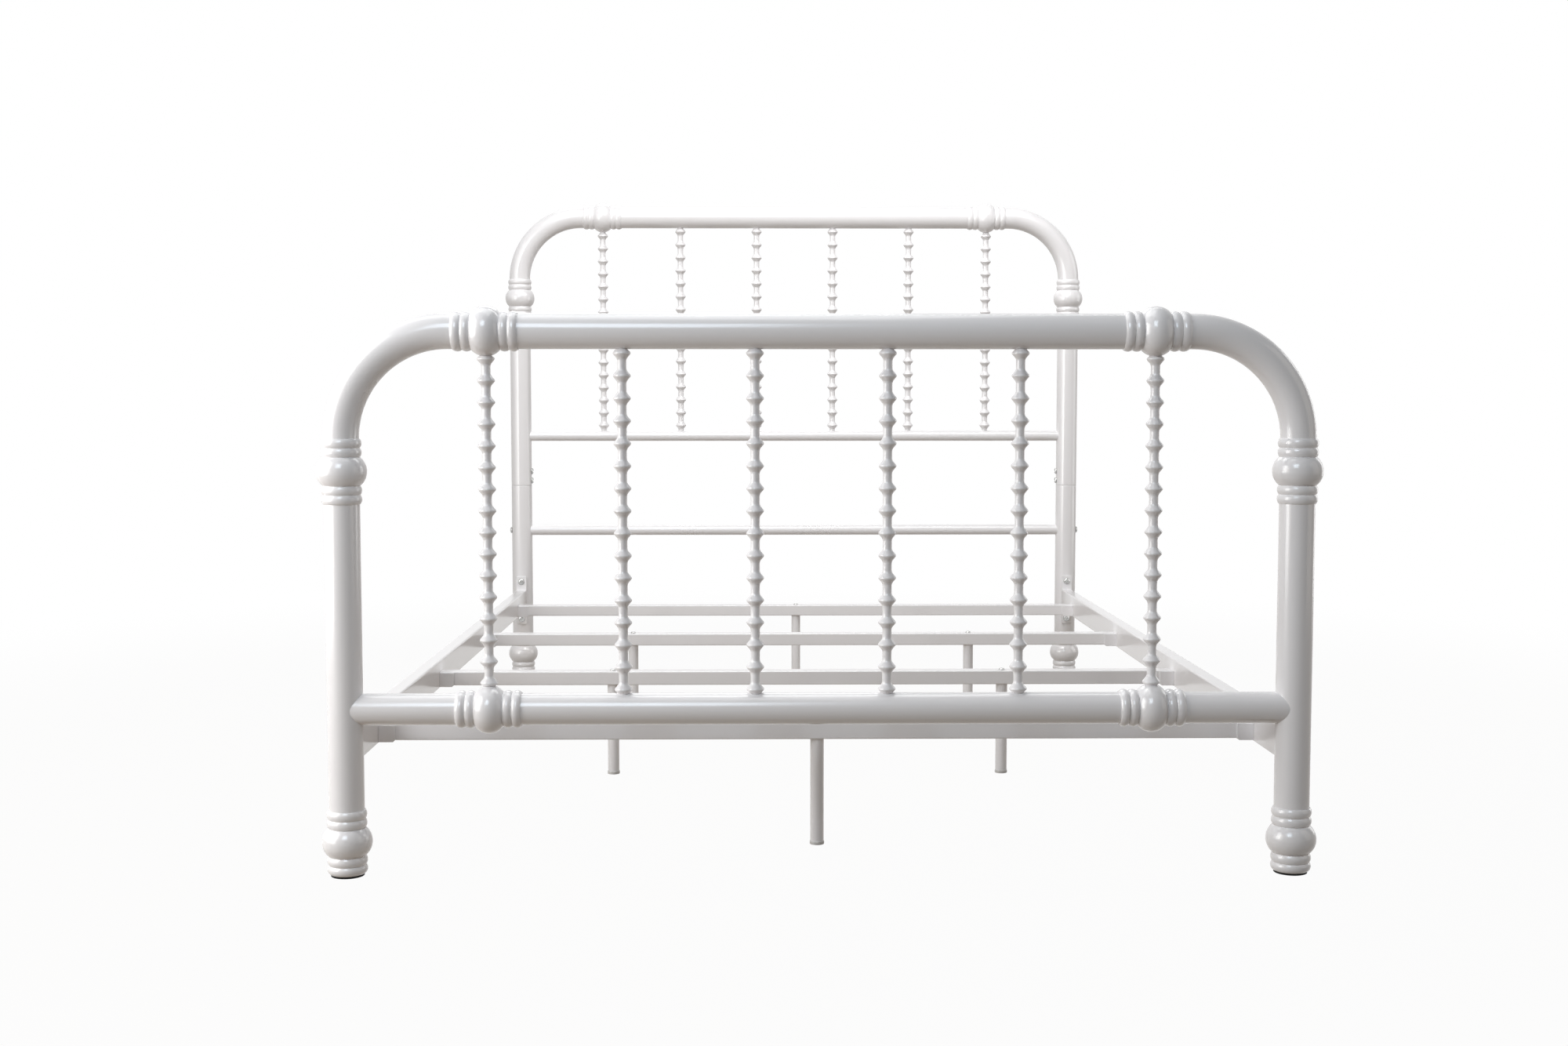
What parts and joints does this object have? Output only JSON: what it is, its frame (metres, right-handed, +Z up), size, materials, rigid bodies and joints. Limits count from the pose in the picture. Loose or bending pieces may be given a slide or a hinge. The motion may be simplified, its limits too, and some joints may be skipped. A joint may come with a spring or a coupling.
{
  "type": "spindle bed frame",
  "caption": "Open bed frame of white coated steel tube with arched foot and head boards, beaded turned spindles, side rails and slats on short support legs, to carry a mattress.",
  "frame": {"origin": "on the floor, under the middle of the bed's bounding box", "axes": "+X across the bed to the right as seen from the foot, +Y along the bed from the footboard to the headboard, +Z up"},
  "size_m": [1.444, 2.032, 1.177],
  "materials": {
    "white_coat": "glossy white powder coat",
    "black_glide": "matte",
    "cap_plastic": "matte",
    "zinc_steel": "zinc plated",
    "plain_steel": "mill"
  },
  "bodies": {
    "root": {"foot_glides": "black_glide", "footboard_bend_left": "white_coat", "footboard_bend_right": "white_coat", "footboard_cross_rail": "white_coat", "footboard_foot_left": "white_coat", "footboard_foot_right": "white_coat", "footboard_leg_left": "white_coat", "footboard_leg_right": "white_coat", "footboard_post_collar_left": "white_coat", "footboard_post_collar_right": "white_coat", "footboard_rail_collar_left": "white_coat", "footboard_rail_collar_right": "white_coat", "footboard_spindle_1": "white_coat", "footboard_spindle_2": "white_coat", "footboard_spindle_3": "white_coat", "footboard_spindle_4": "white_coat", "footboard_spindle_5": "white_coat", "footboard_spindle_6": "white_coat", "footboard_top_collar_left": "white_coat", "footboard_top_collar_right": "white_coat", "footboard_top_rail": "white_coat", "headboard_bolts": "zinc_steel", "headboard_foot_left": "white_coat", "headboard_foot_right": "white_coat", "headboard_leg_left": "white_coat", "headboard_leg_right": "white_coat", "headboard_lower_cross_rail": "white_coat", "headboard_post_collar_left": "white_coat", "headboard_post_collar_right": "white_coat", "headboard_side_tube_left": "white_coat", "headboard_side_tube_right": "white_coat", "headboard_spindle_1": "white_coat", "headboard_spindle_2": "white_coat", "headboard_spindle_3": "white_coat", "headboard_spindle_4": "white_coat", "headboard_spindle_5": "white_coat", "headboard_spindle_6": "white_coat", "headboard_top_collar_left": "white_coat", "headboard_top_collar_right": "white_coat", "headboard_top_rail": "white_coat", "headboard_upper_cross_rail": "white_coat", "rail_bolts": "zinc_steel", "rail_end_plates": "white_coat", "side_rail_left": "white_coat", "side_rail_right": "white_coat", "slat_1": "white_coat", "slat_2": "white_coat", "slat_3": "white_coat", "slat_4": "white_coat", "slat_end_holders": "white_coat", "support_leg_1": "white_coat", "support_leg_2": "white_coat", "support_leg_3": "white_coat", "support_leg_4": "white_coat", "support_leg_5": "white_coat", "support_leg_6": "white_coat", "support_leg_bolts": "zinc_steel", "support_leg_caps": "cap_plastic", "threaded_inserts": "zinc_steel", "tube_joiners": "plain_steel"}
  },
  "joints": []
}
